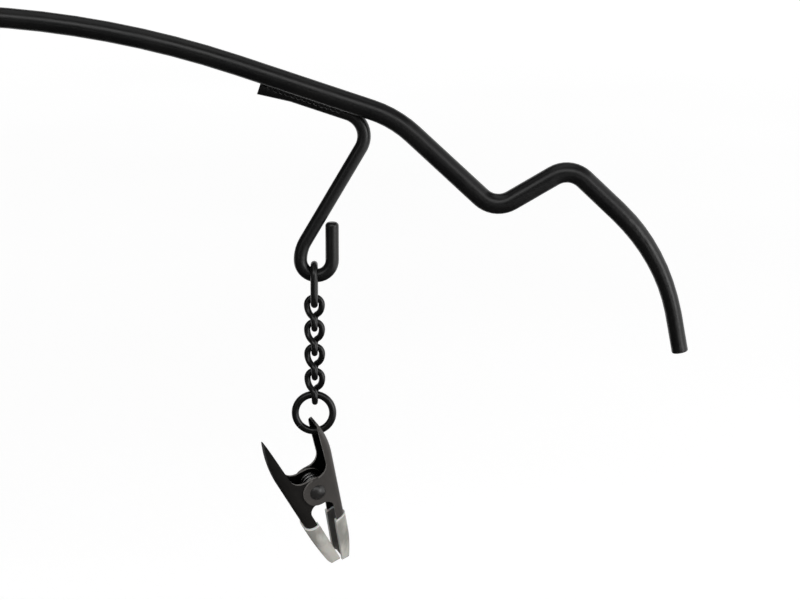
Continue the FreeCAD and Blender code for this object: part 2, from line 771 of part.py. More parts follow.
os.makedirs("parts", exist_ok=True)
for name, shape in build().items():
    solids = len(shape.Solids)
    print(f"{name}: {solids} solid, valid {shape.isValid()}, {shape.Volume:.1f} mm3")
    shape.exportStep(f"parts/{name}.step")
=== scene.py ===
"""Dresses the skirt hanger: a satin black rod, painted chains, and sprung clips with dipped jaw tips."""

import json
import logging
from dataclasses import dataclass
from enum import Enum
from math import atan2, cos, pi, radians, sin, tan

import bmesh
import bpy
from mathutils import Matrix, Vector
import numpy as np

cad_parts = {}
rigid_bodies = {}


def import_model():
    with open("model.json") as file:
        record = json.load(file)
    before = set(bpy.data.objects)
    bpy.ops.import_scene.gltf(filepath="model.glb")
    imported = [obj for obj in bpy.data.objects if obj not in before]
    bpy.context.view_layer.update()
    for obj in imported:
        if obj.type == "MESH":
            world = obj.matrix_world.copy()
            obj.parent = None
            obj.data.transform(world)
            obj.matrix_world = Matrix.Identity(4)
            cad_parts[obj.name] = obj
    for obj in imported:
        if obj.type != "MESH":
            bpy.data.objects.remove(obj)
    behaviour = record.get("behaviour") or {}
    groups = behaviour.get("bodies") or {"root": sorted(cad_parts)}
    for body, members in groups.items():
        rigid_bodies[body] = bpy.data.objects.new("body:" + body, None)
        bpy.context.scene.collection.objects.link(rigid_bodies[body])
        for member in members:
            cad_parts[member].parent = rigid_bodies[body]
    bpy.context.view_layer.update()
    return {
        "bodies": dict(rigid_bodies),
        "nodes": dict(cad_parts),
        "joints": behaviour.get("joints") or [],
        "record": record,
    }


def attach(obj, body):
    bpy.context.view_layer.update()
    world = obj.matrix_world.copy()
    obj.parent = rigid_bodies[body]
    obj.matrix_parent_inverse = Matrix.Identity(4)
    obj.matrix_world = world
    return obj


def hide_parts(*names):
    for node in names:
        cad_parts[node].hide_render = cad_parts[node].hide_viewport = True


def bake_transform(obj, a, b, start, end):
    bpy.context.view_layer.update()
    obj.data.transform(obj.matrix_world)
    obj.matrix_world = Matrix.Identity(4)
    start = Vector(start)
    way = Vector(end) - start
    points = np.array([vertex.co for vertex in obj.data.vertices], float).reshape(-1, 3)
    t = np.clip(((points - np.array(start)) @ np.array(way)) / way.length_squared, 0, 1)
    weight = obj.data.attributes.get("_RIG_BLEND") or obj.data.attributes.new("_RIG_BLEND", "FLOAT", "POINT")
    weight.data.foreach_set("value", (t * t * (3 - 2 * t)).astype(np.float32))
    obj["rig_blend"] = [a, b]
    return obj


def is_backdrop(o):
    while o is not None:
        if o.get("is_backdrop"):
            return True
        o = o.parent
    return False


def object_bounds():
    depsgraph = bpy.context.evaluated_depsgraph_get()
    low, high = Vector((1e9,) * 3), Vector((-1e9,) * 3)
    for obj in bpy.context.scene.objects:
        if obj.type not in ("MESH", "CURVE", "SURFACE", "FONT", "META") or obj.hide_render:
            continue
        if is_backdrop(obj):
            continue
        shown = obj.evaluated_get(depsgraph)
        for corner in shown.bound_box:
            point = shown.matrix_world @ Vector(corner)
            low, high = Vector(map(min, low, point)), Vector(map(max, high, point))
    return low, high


LOG = logging.getLogger("skirt_hanger")
MM = 0.001
MERGE_WITHIN = 0.0005 * MM
FLAT_WITHIN = radians(0.4)
SHARP_OVER = radians(50)
SHADE_SHARP_OVER = radians(38)
# Face marks: the lighter edge colour, partly wear and partly a painted highlight, and the painted shade
# within the channels.
FACE_MARKS = ("edge", "inner")
NOISE_SPREAD = (0.33, 0.67)
PATCH_STOPS = (0.3, 0.7)
BACKGROUND_RAYS = ("Is Camera Ray", "Is Glossy Ray", "Is Transmission Ray")

# The colour mixer's sockets share their names with its other kinds', so they go by number.
MIX_SHARE, MIX_FIRST, MIX_SECOND, MIX_RESULT = 0, 6, 7, 2

Colour = tuple[float, float, float, float]
Place = tuple[float, float, float]
Frame = dict[str, object]


class Side(Enum):
    """The hanger's two arms."""

    LEFT = "left"
    RIGHT = "right"


class Half(Enum):
    """The clip's two pressed halves."""

    HANGING = "hanging"
    SWINGING = "swinging"

    @property
    def outward(self) -> int:
        """Tells which way the half's back faces along the clip's X."""
        return 1 if self is Half.HANGING else -1


class ShaderBoard:
    """A material's shader nodes, with short ways to add and join them."""

    def __init__(self, name: str) -> None:
        """Starts a material with an empty node tree and its output.

        Args:
            name: The material's name.
        """
        self.material = bpy.data.materials.new(name)
        self.material.use_nodes = True
        self.tree = self.material.node_tree
        self.tree.nodes.clear()
        self.output = self.tree.nodes.new("ShaderNodeOutputMaterial")
        self.place = self.add("ShaderNodeTexCoord").outputs["Object"]

    def add(self, kind: str, inputs: dict[str, object] | None = None) -> bpy.types.Node:
        """Adds one node and sets or joins its inputs.

        Args:
            kind: The node's type.
            inputs: For each input's name, a value or the socket that feeds it.

        Returns:
            The new node.
        """
        node = self.tree.nodes.new(kind)
        for name, value in (inputs or {}).items():
            if isinstance(value, bpy.types.NodeSocket):
                self.tree.links.new(value, node.inputs[name])
            else:
                node.inputs[name].default_value = value
        return node

    def noise(self, pitch: float, detail: float = 2.0, stretch: Place = (1, 1, 1)) -> bpy.types.NodeSocket:
        """Adds soft noise on the piece's own coordinates.

        Args:
            pitch: The size of one patch in metres.
            detail: How many finer layers lie on it.
            stretch: How much closer the patches lie along each axis.

        Returns:
            The noise value, around 0.5.
        """
        spread = self.add("ShaderNodeMapping", {"Vector": self.place, "Scale": stretch})
        inputs = {"Vector": spread.outputs["Vector"], "Scale": 1 / pitch, "Detail": detail}
        return self.add("ShaderNodeTexNoise", inputs).outputs[0]

    def span(self, value: bpy.types.NodeSocket, low: float, high: float) -> bpy.types.NodeSocket:
        """Spreads a noise value over a range.

        Args:
            value: The noise value.
            low: What the darkest third of the noise becomes.
            high: What the brightest third of the noise becomes.

        Returns:
            The spread value.
        """
        dark, bright = NOISE_SPREAD
        inputs = {"Value": value, "From Min": dark, "From Max": bright, "To Min": low, "To Max": high}
        return self.add("ShaderNodeMapRange", inputs).outputs["Result"]

    def ramp(self, value: bpy.types.NodeSocket, stops: list[tuple[float, Colour]]) -> bpy.types.NodeSocket:
        """Turns a value into a colour.

        Args:
            value: The value that chooses the colour.
            stops: Two places along the value, each with its colour.

        Returns:
            The colour.
        """
        node = self.add("ShaderNodeValToRGB", {"Fac": value})
        for mark, (place, colour) in zip(node.color_ramp.elements, stops):
            mark.position = place
            mark.color = colour
        return node.outputs["Color"]

    def blend(
        self, share: bpy.types.NodeSocket, first: bpy.types.NodeSocket, second: Colour
    ) -> bpy.types.NodeSocket:
        """Lays a second colour over a first one.

        Args:
            share: How much of the second colour shows.
            first: The colour underneath.
            second: The colour on top.

        Returns:
            The mixed colour.
        """
        node = self.add("ShaderNodeMix")
        node.data_type = "RGBA"
        self.tree.links.new(share, node.inputs[MIX_SHARE])
        self.tree.links.new(first, node.inputs[MIX_FIRST])
        node.inputs[MIX_SECOND].default_value = second
        return node.outputs[MIX_RESULT]

    def times(self, value: bpy.types.NodeSocket, by: bpy.types.NodeSocket | float) -> bpy.types.NodeSocket:
        """Multiplies a value.

        Args:
            value: The value.
            by: What it is multiplied by.

        Returns:
            The product.
        """
        node = self.add("ShaderNodeMath", {0: value, 1: by})
        node.operation = "MULTIPLY"
        return node.outputs[0]

    def bump(
        self, height: bpy.types.NodeSocket, depth: float, under: bpy.types.NodeSocket | None = None
    ) -> bpy.types.NodeSocket:
        """Turns a value into small relief.

        Args:
            height: The value to read as height.
            depth: The relief's depth in metres.
            under: The relief that this one lies on.

        Returns:
            The bent normal.
        """
        inputs = {"Height": height, "Distance": depth, "Strength": 1.0}
        if under is not None:
            inputs["Normal"] = under
        return self.add("ShaderNodeBump", inputs).outputs["Normal"]

    def attribute(self, name: str) -> bpy.types.NodeSocket:
        """Reads one of the piece's own marks.

        Args:
            name: The mark's name.

        Returns:
            Its value.
        """
        node = self.add("ShaderNodeAttribute")
        node.attribute_name = name
        return node.outputs["Fac"]

    def surface(self, inputs: dict[str, object]) -> bpy.types.Material:
        """Closes the tree with the surface shader.

        Args:
            inputs: The shader's inputs.

        Returns:
            The finished material.
        """
        shader = self.add("ShaderNodeBsdfPrincipled", inputs)
        self.tree.links.new(shader.outputs["BSDF"], self.output.inputs["Surface"])
        return self.material


@dataclass(frozen=True)
class SatinPaint:
    """Black stoved paint on wire and sheet: a faint orange peel, and patches that dried duller.

    Attributes:
        name: The finish's name, also that of its material slot in the record.
        deep: The colour where the paint lies thick.
        thin: The colour where it lies thin.
        glossy: The roughness of the shiniest patches.
        dull: The roughness of the dullest patches.
        specular: The strength of the reflection at the surface.
        peel_pitch: The size of the orange peel's cells in metres.
        peel_depth: The orange peel's depth in metres.
        worn: The lighter colour along pressed pieces' edges, partly bare edges and partly a painted
            highlight.
        inside: The near black of the painted shade within pressed pieces, where they are out of the light.
        patch_pitch: The size of the patches of thick and thin paint in metres.
        patch_stops: Where along the noise the paint is thick and where it is thin.
        gloss_pitch: The size of the shiny and dull patches in metres.
        wear_pitch: The size of the patches along the lighter edges in metres.
        least_wear: How much of the lighter colour the faintest patches get.
        inside_gloss: The share of the reflection that is left where the shade is painted.
        grit: How many times finer than the orange peel its grit is, and how many times shallower.
    """

    name: str
    deep: Colour
    thin: Colour
    glossy: float
    dull: float
    specular: float
    peel_pitch: float
    peel_depth: float
    worn: Colour | None = None
    inside: Colour | None = None
    patch_pitch: float = 14 * MM
    patch_stops: tuple[float, float] = (0.36, 0.68)
    gloss_pitch: float = 5 * MM
    wear_pitch: float = 1.7 * MM
    least_wear: float = 0.6
    inside_gloss: float = 0.2
    grit: tuple[float, float] = (5.0, 9.0)

    def material(self) -> bpy.types.Material:
        """Builds the paint's material.

        Returns:
            The material.
        """
        board = ShaderBoard(self.name)
        patches = board.noise(self.patch_pitch, detail=4.0)
        colour = board.ramp(patches, list(zip(self.patch_stops, (self.deep, self.thin))))
        specular = self.specular
        # Lighter edges: partly wear in patches, partly a painted highlight along every rounded edge.
        if self.worn is not None:
            rubbed_and_lit = board.span(board.noise(self.wear_pitch, detail=3.0), self.least_wear, 1.0)
            colour = board.blend(board.times(board.attribute("edge"), rubbed_and_lit), colour, self.worn)
        # Painted shade: faces marked as shaded turn near black and reflect less, within the channels and, in
        # part, on the swinging half.
        if self.inside is not None:
            inner = board.attribute("inner")
            colour = board.blend(inner, colour, self.inside)
            least = self.specular * self.inside_gloss
            inputs = {"Value": inner, "To Min": self.specular, "To Max": least}
            specular = board.add("ShaderNodeMapRange", inputs).outputs["Result"]
        peel = board.bump(board.noise(self.peel_pitch, detail=1.0), self.peel_depth)
        finer, shallower = self.grit
        grit = board.bump(board.noise(self.peel_pitch / finer), self.peel_depth / shallower, peel)
        return board.surface({
            "Base Color": colour,
            "Roughness": board.span(board.noise(self.gloss_pitch, detail=3.0), self.glossy, self.dull),
            "Specular IOR Level": specular,
            "Normal": grit,
        })


@dataclass(frozen=True)
class SpringSteel:
    """Drawn steel wire, dark with oil, with fine lines along it.

    Attributes:
        name: The finish's name, also that of its material slot in the record.
        steel: The colour of the bright steel.
        oil: The colour where oil has darkened it.
        stain_pitch: The size of the oil stains in metres.
        stain_stops: Where along the noise the oil lies and where the steel is bright.
        line_pitch: The spacing of the drawn lines in metres.
        line_stretch: How much closer the lines lie along each axis.
        line_depth: The lines' depth in metres.
        roughness: The least and the greatest roughness.
    """

    name: str
    steel: Colour
    oil: Colour
    stain_pitch: float = 2.2 * MM
    stain_stops: tuple[float, float] = (0.38, 0.62)
    line_pitch: float = 0.12 * MM
    line_stretch: Place = (1.0, 6.0, 1.0)
    line_depth: float = 0.008 * MM
    roughness: tuple[float, float] = (0.2, 0.32)

    def material(self) -> bpy.types.Material:
        """Builds the wire's material.

        Returns:
            The material.
        """
        board = ShaderBoard(self.name)
        stain = board.noise(self.stain_pitch, detail=4.0)
        lines = board.noise(self.line_pitch, stretch=self.line_stretch)
        return board.surface({
            "Base Color": board.ramp(stain, list(zip(self.stain_stops, (self.oil, self.steel)))),
            "Metallic": 1.0,
            "Roughness": board.span(stain, *self.roughness),
            "Normal": board.bump(lines, self.line_depth),
        })


@dataclass(frozen=True)
class DippedVinyl:
    """Milky clear vinyl from a dip: glossy, clouded, and whiter along its thick rim.

    Attributes:
        name: The finish's name, also that of its material slot in the record.
        cloudy: The colour where the skin is thick.
        clear: The colour where the metal shows through.
        rim: The colour of the bead along the edge.
        inside: The dark colour on the faces turned into the channel: painted shade, partly the dark metal
            showing through.
        cloud_pitch: The size of the clouds in metres.
        cloud_stretch: How much closer the clouds lie along each axis.
        cloud_stops: Where along the noise the skin is clear and where it is cloudy.
        inside_share: How much of that painted shade shows there.
        edge_share: How much of the rim's colour shows along the cut edges.
        run_pitch: The size of the runs in metres.
        run_depth: The runs' depth in metres.
        gloss_pitch: The size of the shiny and dull patches in metres.
        roughness: The least and the greatest roughness.
    """

    name: str
    cloudy: Colour
    clear: Colour
    rim: Colour
    inside: Colour
    cloud_pitch: float = 4.2 * MM
    cloud_stretch: Place = (1.0, 1.0, 0.45)
    cloud_stops: tuple[float, float] = (0.38, 0.6)
    inside_share: float = 0.85
    edge_share: float = 0.5
    run_pitch: float = 1.6 * MM
    run_depth: float = 0.05 * MM
    gloss_pitch: float = 2.5 * MM
    roughness: tuple[float, float] = (0.14, 0.26)

    def material(self) -> bpy.types.Material:
        """Builds the vinyl's material.

        Returns:
            The material.
        """
        board = ShaderBoard(self.name)
        clouds = board.noise(self.cloud_pitch, detail=5.0, stretch=self.cloud_stretch)
        body = board.ramp(clouds, list(zip(self.cloud_stops, (self.clear, self.cloudy))))
        # Painted shade on the faces turned into the channel, partly the dark metal seen through the vinyl.
        within = board.times(board.attribute("inner"), self.inside_share)
        body = board.blend(within, body, self.inside)
        body = board.blend(board.times(board.attribute("edge"), self.edge_share), body, self.rim)
        runs = board.bump(board.noise(self.run_pitch, detail=1.5), self.run_depth)
        return board.surface({
            "Base Color": board.blend(board.attribute("rim"), body, self.rim),
            "Roughness": board.span(board.noise(self.gloss_pitch), *self.roughness),
            "IOR": 1.53,
            "Transmission Weight": 0.2,
            "Subsurface Weight": 0.15,
            "Subsurface Scale": 0.3 * MM,
            "Normal": runs,
        })


@dataclass(frozen=True)
class Finishes:
    """The hanger's finishes as built materials, each under its slot's name."""

    bar_paint: bpy.types.Material
    chain_paint: bpy.types.Material
    clip_paint: bpy.types.Material
    rivet_paint: bpy.types.Material
    spring_steel: bpy.types.Material
    clear_vinyl: bpy.types.Material

    @classmethod
    def mixed(cls) -> "Finishes":
        """Mixes every finish.

        Returns:
            The finishes, ready to be laid on.
        """
        makers = [
            SatinPaint(
                name="bar_paint", deep=(0.0036, 0.0036, 0.0038, 1), thin=(0.0062, 0.006, 0.0058, 1),
                glossy=0.28, dull=0.38, specular=0.45, peel_pitch=0.9 * MM, peel_depth=0.018 * MM,
            ),
            SatinPaint(
                name="chain_paint", deep=(0.0036, 0.0036, 0.0036, 1), thin=(0.0062, 0.006, 0.0058, 1),
                glossy=0.24, dull=0.34, specular=0.48, peel_pitch=0.7 * MM, peel_depth=0.016 * MM,
            ),
            SatinPaint(
                name="clip_paint", deep=(0.045, 0.041, 0.038, 1), thin=(0.064, 0.058, 0.0535, 1),
                glossy=0.4, dull=0.5, specular=0.5, peel_pitch=0.6 * MM, peel_depth=0.012 * MM,
                # Its lighter edges are partly wear and partly a painted highlight; its near black is painted
                # shade.
                worn=(0.17, 0.16, 0.15, 1), inside=(0.002, 0.002, 0.002, 1),
            ),
            SatinPaint(
                name="rivet_paint", deep=(0.015, 0.0144, 0.0138, 1), thin=(0.021, 0.02, 0.0192, 1),
                glossy=0.3, dull=0.4, specular=0.65, peel_pitch=0.5 * MM, peel_depth=0.012 * MM,
            ),
            SpringSteel(name="spring_steel", steel=(0.26, 0.26, 0.26, 1), oil=(0.09, 0.089, 0.086, 1)),
            DippedVinyl(
                name="clear_vinyl", cloudy=(0.64, 0.625, 0.575, 1), clear=(0.36, 0.353, 0.325, 1),
                # Its dark colour is painted shade on the faces turned into the channel.
                rim=(0.9, 0.9, 0.88, 1), inside=(0.12, 0.118, 0.113, 1),
            ),
        ]
        return cls(**{maker.name: maker.material() for maker in makers})

    def lay_on(self, piece: bpy.types.Object, slot: str) -> None:
        """Lays a finish on a piece or on a node of the frame.

        Args:
            piece: The object to cover.
            slot: The finish's slot name.
        """
        material = getattr(self, slot)
        if not piece.material_slots:
            piece.data.materials.append(material)
        for holder in piece.material_slots:
            holder.material = material

    def paint_nodes(self, frame: Frame, names: list[str], slot: str) -> None:
        """Lays one finish on nodes of the frame.

        Args:
            frame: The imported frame.
            names: The nodes' names.
            slot: The finish's slot name.
        """
        for name in names:
            self.lay_on(frame["nodes"][name], slot)
            LOG.info("%s painted", name)


def merged_copy(node: bpy.types.Object) -> bmesh.types.BMesh:
    """Copies a node's shape with its triangles joined up and its flat faces whole.

    Args:
        node: The node of the frame.

    Returns:
        The copy, still to be worked on.
    """
    shape = bmesh.new()
    shape.from_mesh(node.data)
    bmesh.ops.remove_doubles(shape, verts=shape.verts, dist=MERGE_WITHIN)
    bmesh.ops.dissolve_limit(shape, angle_limit=FLAT_WITHIN, verts=shape.verts, edges=shape.edges)
    for mark in FACE_MARKS:
        shape.faces.layers.float.new(mark)
    return shape


def soften_edges(shape: bmesh.types.BMesh, width: float, segments: int) -> list[bmesh.types.BMFace]:
    """Rounds a shape's sharp edges.

    Args:
        shape: The shape to work on.
        width: How far each rounding reaches in metres.
        segments: How many strips make up a rounding.

    Returns:
        The strips of the roundings.
    """
    sharp = [edge for edge in shape.edges if edge.is_manifold and edge.calc_face_angle() > SHARP_OVER]
    rounding = bmesh.ops.bevel(
        shape, geom=sharp, offset=width, offset_type="OFFSET", segments=segments, profile=0.5,
        affect="EDGES", clamp_overlap=True, material=-1,
    )
    return rounding["faces"]


def cut_across(
    shape: bmesh.types.BMesh, point: Vector, facing: Vector, clear: bool = False
) -> list[bmesh.types.BMEdge]:
    """Cuts a shape along a plane.

    Args:
        shape: The shape to cut.
        point: A point on the plane.
        facing: The way that the plane faces.
        clear: Whether what lies in front of the plane is taken away.

    Returns:
        The edges along the cut.
    """
    cut = bmesh.ops.bisect_plane(
        shape, geom=[*shape.verts, *shape.edges, *shape.faces], dist=MERGE_WITHIN,
        plane_co=point, plane_no=facing, clear_outer=clear,
    )
    return [item for item in cut["geom_cut"] if isinstance(item, bmesh.types.BMEdge)]


def finished(shape: bmesh.types.BMesh, name: str) -> bpy.types.Object:
    """Turns a shape into a smoothly shaded object in the scene.

    Args:
        shape: The shape, used up by this.
        name: The piece's name.

    Returns:
        The new object.
    """
    mesh = bpy.data.meshes.new(name)
    shape.to_mesh(mesh)
    shape.free()
    if "custom_normal" in mesh.attributes:
        mesh.attributes.remove(mesh.attributes["custom_normal"])
    mesh.shade_smooth()
    mesh.set_sharp_from_angle(angle=SHADE_SHARP_OVER)
    piece = bpy.data.objects.new(name, mesh)
    bpy.context.scene.collection.objects.link(piece)
    return piece


def weight_normals(piece: bpy.types.Object) -> None:
    """Keeps flat faces flat beside their roundings."""
    modifier = piece.modifiers.new("flat_faces", "WEIGHTED_NORMAL")
    modifier.keep_sharp = True


@dataclass
class HangerRod:
    """The welded frame: the shoulder bar, the rail hook, and the drop hooks with their welds.

    Attributes:
        slot: The finish of all of it.
    """

    slot: str = "bar_paint"

    def dress(self, frame: Frame, finishes: Finishes) -> None:
        """Paints the rod and everything welded to it.

        Args:
            frame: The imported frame.
            finishes: The mixed finishes.
        """
        names = ["shoulder_bar", "rail_hook", "rail_hook_weld"]
        for side in Side:
            names += [f"{side.value}_drop_hook", f"{side.value}_drop_hook_weld"]
        finishes.paint_nodes(frame, names, self.slot)


@dataclass
class HangingChain:
    """One arm's chain: the connector link, the twisted links and the ring.

    Attributes:
        side: The arm it hangs from.
        links: How many twisted links there are.
        slot: The finish of all of it.
    """

    side: Side
    links: int = 4
    slot: str = "chain_paint"

    def dress(self, frame: Frame, finishes: Finishes) -> None:
        """Paints every link and the ring.

        Args:
            frame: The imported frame.
            finishes: The mixed finishes.
        """
        names = [f"{self.side.value}_connector_link", f"{self.side.value}_ring"]
        names += [f"{self.side.value}_chain_link_{number + 1}" for number in range(self.links)]
        finishes.paint_nodes(frame, names, self.slot)


@dataclass
class SprungClip:
    """One arm's clip: two pressed halves on a rivet, their spring and their dipped tips.

    Attributes:
        side: The arm it hangs from.
        edge_rounding: The rounding of the sheet's edges in metres.
        sleeve_rounding: The rounding of the sleeves' edges in metres.
        rim_height: How far the white rim reaches down a sleeve in metres.
        tip_rounding: The radius of the corner where a sleeve's lower end meets the other half in metres.
        back_rounding: The radius of the corner at the other side of its lower end in metres.
        tip_cuts: The flats in each of those corners.
        wire_radius: The spring wire's radius in metres.
        coil_radius: The radius of the coil's middle line in metres.
        coil_pitch: How far one turn climbs in metres.
        full_turns: The coil's whole turns.
        hanging_lean: The angle between the clip's length and the leg in the hanging half.
        swinging_lean: The angle between the clip's length and the leg in the swinging half.
        leg_length: The length of a leg in metres.
        wire_sides: The flats round the wire.
        turn_steps: The steps in a turn of the coil.
        ring_lean: The angle at the rivet between the clip's length and the ring's wire.
        rim_slope: The way that a sleeve's rim faces, along the clip's own axes.
        trimmed_slope: The way that the hanging half's rim faces once it is trimmed.
        sheet: The thickness of the pressed sheet in metres.
        skin: The thickness of a sleeve's skin in metres.
        swinging_paint: How much painted shade lies on the swinging half's outside, so that it shows darker.
        edge_strips: The strips in the rounding of a sheet's edge.
        sleeve_strips: The strips in the rounding of a sleeve's edge.
        white_share: The share of the rim's height that is fully white.
        rim_within: How far from the rim's plane a point still counts as on it in metres.
        wall_allowance: How many wall thicknesses in from the outside the painted shade starts.
        sideways_over: How far a face turns sideways before it counts as part of a side wall.
    """

    side: Side
    edge_rounding: float = 0.14 * MM
    sleeve_rounding: float = 0.15 * MM
    rim_height: float = 0.5 * MM
    tip_rounding: float = 1.1 * MM
    back_rounding: float = 2.2 * MM
    tip_cuts: int = 4
    wire_radius: float = 0.4 * MM
    coil_radius: float = 3.7 * MM
    coil_pitch: float = 1.3 * MM
    full_turns: int = 3
    hanging_lean: float = radians(22.6)
    swinging_lean: float = radians(25.2)
    leg_length: float = 10.2 * MM
    wire_sides: int = 14
    turn_steps: int = 40
    ring_lean: float = radians(27.115)
    rim_slope: Place = (-0.18, -0.2, 1.0)
    trimmed_slope: Place = (-0.18, 0.1, 1.0)
    sheet: float = 0.7 * MM
    skin: float = 0.45 * MM
    swinging_paint: float = 0.8
    edge_strips: int = 2
    sleeve_strips: int = 3
    white_share: float = 0.5
    rim_within: float = 0.0225 * MM
    wall_allowance: float = 1.1
    sideways_over: float = 0.5

    def node(self, part: str) -> str:
        """Names one of the clip's nodes."""
        return f"{self.side.value}_clip_{part}"

    def body(self, half: Half) -> str:
        """Names the body that a half of the clip belongs to."""
        return f"{self.side.value}_clip" if half is Half.HANGING else f"{self.side.value}_clip_arm"

    def stance(self, frame: Frame) -> Matrix:
        """Works out how the clip hangs.

        Args:
            frame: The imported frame.

        Returns:
            The clip's own axes in the hanger's: X outward, Y along the rivet from its head, Z up the clip.
        """
        joints = {joint["name"]: joint for joint in frame["joints"]}
        rivet = Vector(joints[f"{self.side.value}_jaw_open"]["pos_m"])
        wire = Vector(joints[f"{self.side.value}_clip_swing"]["pos_m"])
        along = Vector(joints[f"{self.side.value}_jaw_open"]["axis"]).normalized()
        if (along.y < 0) is (self.side is Side.RIGHT):
            along.negate()
        toward = (wire - rivet).normalized()
        beside = along.cross(toward).normalized()
        up = toward * cos(self.ring_lean) - beside * sin(self.ring_lean)
        turned = Matrix((along.cross(up), along, up)).transposed().to_4x4()
        return Matrix.Translation(rivet) @ turned

    def build(self, frame: Frame, finishes: Finishes) -> None:
        """Makes the clip's pieces and lays their finishes on.

        Args:
            frame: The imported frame.
            finishes: The mixed finishes.
        """
        stance = self.stance(frame)
        for half in Half:
            self.press_jaw(half, stance, frame, finishes)
            self.dip_sleeve(half, stance, frame, finishes)
        self.wind_spring(stance, finishes)
        finishes.paint_nodes(frame, [self.node("rivet")], "rivet_paint")

    def press_jaw(self, half: Half, stance: Matrix, frame: Frame, finishes: Finishes) -> None:
        """Makes one pressed half with the rolled edges that blanking and paint leave.

        Args:
            half: Which half.
            stance: The clip's own axes.
            frame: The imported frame.
            finishes: The mixed finishes.
        """
        name = self.node(f"{half.value}_jaw")
        shape = merged_copy(frame["nodes"][name])
        strips = soften_edges(shape, self.edge_rounding, self.edge_strips)
        # The swinging half's outside gets part of the painted shade, so it shows darker than the hanging
        # half.
        thick = self.swinging_paint if half is Half.SWINGING else 0.0
        self.mark(shape, half, stance, self.sheet, thick, strips)
        piece = finished(shape, f"{name}_pressed")
        weight_normals(piece)
        self.settle(piece, half, name, "clip_paint", finishes)

    def mark(
        self, shape: bmesh.types.BMesh, half: Half, stance: Matrix, wall: float, thick: float,
        strips: list[bmesh.types.BMFace],
    ) -> None:
        """Marks a piece's cut edges, and the painted shade within it, on its faces, for the finishes to
        read.

        Args:
            shape: The pressed half or its sleeve.
            half: Which half.
            stance: The clip's own axes.
            wall: The thickness of its walls in metres.
            thick: How much painted shade its outside gets.
            strips: The strips that round its edges.
        """
        edge, inner = (shape.faces.layers.float[mark] for mark in FACE_MARKS)
        upright = stance.inverted()
        turned = upright.to_3x3()
        across = {vert: (upright @ vert.co).y for vert in shape.verts}
        within = max(abs(value) for value in across.values()) - wall * self.wall_allowance
        for face in shape.faces:
            facing = turned @ face.normal
            places = [across[vert] for vert in face.verts]
            middle = sum(places) / len(places)
            sideways = abs(facing.y) > self.sideways_over
            # Faces turned into the channel get the full painted shade, those near the walls' ends the
            # lighter edge instead, and the rest of the outside its given share of painted shade.
            if sideways and facing.y * middle < 0:
                face[inner] = 1.0
            elif not sideways and facing.x * half.outward < 0:
                face[inner if abs(middle) < within else edge] = 1.0
            else:
                face[inner] = thick
        # The rounded strips get the lighter edge colour and no painted shade.
        for strip in strips:
            strip[edge] = 1.0
            strip[inner] = 0.0

    def dip_sleeve(self, half: Half, stance: Matrix, frame: Frame, finishes: Finishes) -> None:
        """Makes one dipped sleeve with rounded edges and a whiter rim.

        Args:
            half: Which half.
            stance: The clip's own axes.
            frame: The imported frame.
            finishes: The mixed finishes.
        """
        name = self.node(f"{half.value}_sleeve")
        shape = merged_copy(frame["nodes"][name])
        self.round_tip(shape, half, stance)
        if half is Half.HANGING:
            self.trim_rim(shape, stance)
        soften_edges(shape, self.sleeve_rounding, self.sleeve_strips)
        self.mark(shape, half, stance, self.sheet + 2 * self.skin, 0.0, [])
        self.bead_rim(shape, stance, self.trimmed_slope if half is Half.HANGING else self.rim_slope)
        piece = finished(shape, f"{name}_dipped")
        weight_normals(piece)
        self.settle(piece, half, name, "clear_vinyl", finishes)

    def round_tip(self, shape: bmesh.types.BMesh, half: Half, stance: Matrix) -> None:
        """Rounds both corners of a sleeve's lower end, as the dip leaves them.

        Args:
            shape: The sleeve.
            half: The half that it is on.
            stance: The clip's own axes.
        """
        upright = stance.inverted()
        places = [upright @ vert.co for vert in shape.verts]
        low = min(place.z for place in places)
        ends = [place.x for place in places if place.z < low + MERGE_WITHIN]
        for corner, hand in ((min(ends), -1), (max(ends), 1)):
            turn = pi / 2 + self.side_slope(places, Vector((corner, 0, low)), hand)
            radius = self.back_rounding if hand == half.outward else self.tip_rounding
            middle = Vector((corner - hand * radius * tan(turn / 2), 0, low + radius))
            for step in range(1, self.tip_cuts + 1):
                angle = turn * step / (self.tip_cuts + 1)
                facing = Vector((hand * sin(angle), 0, -cos(angle)))
                point = stance @ (middle + facing * radius)
                edges = cut_across(shape, point, stance.to_3x3() @ facing, clear=True)
                bmesh.ops.holes_fill(shape, edges=edges, sides=0)

    def side_slope(self, places: list[Vector], corner: Vector, hand: int) -> float:
        """Finds how a sleeve's side leans outward as it goes down to a corner.

        Args:
            places: The sleeve's points along the clip's own axes.
            corner: The corner.
            hand: The side that the corner is on.

        Returns:
            The lean, in radians from the clip's length.
        """
        leans = [
            atan2(hand * (corner.x - place.x), place.z - corner.z)
            for place in places if place.z > corner.z + self.tip_rounding
        ]
        return min(leans)

    def trim_rim(self, shape: bmesh.types.BMesh, stance: Matrix) -> None:
        """Trims a sleeve's rim so that it falls toward the back instead of rising.

        Args:
            shape: The sleeve.
            stance: The clip's own axes.
        """
        upright = stance.inverted()
        facing = Vector(self.rim_slope).normalized()
        places = [upright @ vert.co for vert in shape.verts]
        top = max(facing.dot(place) for place in places)
        rim = [place for place in places if facing.dot(place) > top - self.rim_within]
        front = stance @ min(rim, key=lambda place: place.y)
        edges = cut_across(shape, front, stance.to_3x3() @ Vector(self.trimmed_slope), clear=True)
        bmesh.ops.bridge_loops(shape, edges=[edge for edge in edges if edge.is_boundary])

